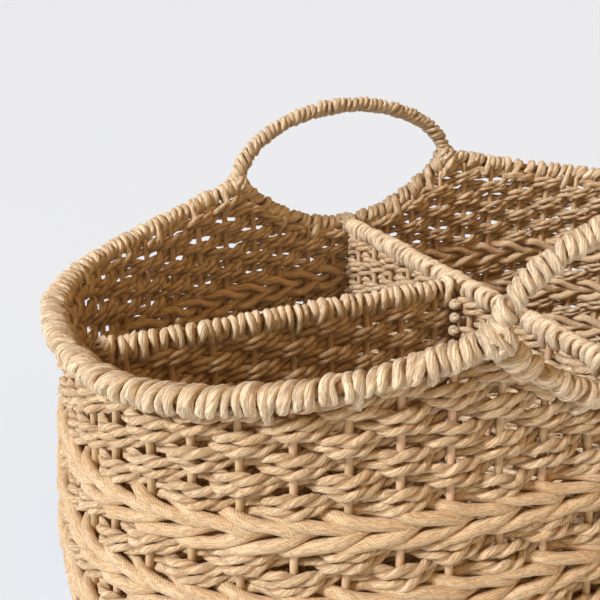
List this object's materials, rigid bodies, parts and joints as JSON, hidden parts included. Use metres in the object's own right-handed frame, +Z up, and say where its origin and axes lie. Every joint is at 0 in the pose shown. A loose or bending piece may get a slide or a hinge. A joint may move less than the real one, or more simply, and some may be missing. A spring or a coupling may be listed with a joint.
{
  "type": "divided woven basket",
  "caption": "Oval open basket of twisted paper rope woven on wooden stakes, with wrapped loop handles on the long sides and woven dividers inside",
  "frame": {"origin": "middle of the bottom face, on the surface that the basket stands on", "axes": "+X along the long side, +Z up, -Y towards the side with the front handle; the short divider lies on the -X side"},
  "size_m": [0.4036, 0.2696, 0.2524],
  "materials": {
    "woven_rope": "matt two-ply twisted paper rope",
    "wale_cord": "matt tightly twisted paper cord",
    "binding_cord": "matt crinkled paper cord",
    "handle_cord": "matt crinkled paper cord, wrapped tight",
    "stake_wood": "smooth unvarnished round rod",
    "cane_core": "plain cane"
  },
  "bodies": {
    "root": {"base_border_core": "cane_core", "base_border_wrap": "binding_cord", "base_stakes": "stake_wood", "base_weave": "woven_rope", "dip_core_back": "cane_core", "dip_core_front": "cane_core", "dip_wrap_back": "binding_cord", "dip_wrap_front": "binding_cord", "divider_joint_knots": "binding_cord", "divider_lashing_back": "binding_cord", "divider_lashing_front": "binding_cord", "foot_lashing_back_left": "binding_cord", "foot_lashing_back_right": "binding_cord", "foot_lashing_front_left": "binding_cord", "foot_lashing_front_right": "binding_cord", "handle_core_back": "cane_core", "handle_core_front": "cane_core", "handle_wrap_back": "handle_cord", "handle_wrap_front": "handle_cord", "long_divider_core": "cane_core", "long_divider_stakes": "stake_wood", "long_divider_weave": "woven_rope", "long_divider_wrap": "binding_cord", "pair_band_1": "woven_rope", "pair_band_2": "woven_rope", "pair_band_3": "woven_rope", "pair_band_4": "woven_rope", "pair_band_5": "woven_rope", "rim_core_left": "cane_core", "rim_core_right": "cane_core", "rim_wrap_left": "binding_cord", "rim_wrap_right": "binding_cord", "side_divider_core": "cane_core", "side_divider_knot": "binding_cord", "side_divider_stakes": "stake_wood", "side_divider_weave": "woven_rope", "side_divider_wrap": "binding_cord", "upper_weave": "woven_rope", "wale_band_1": "wale_cord", "wale_band_2": "wale_cord", "wale_band_3": "wale_cord", "wale_band_4": "wale_cord", "wale_band_5": "wale_cord", "wall_stakes": "stake_wood"}
  },
  "joints": []
}
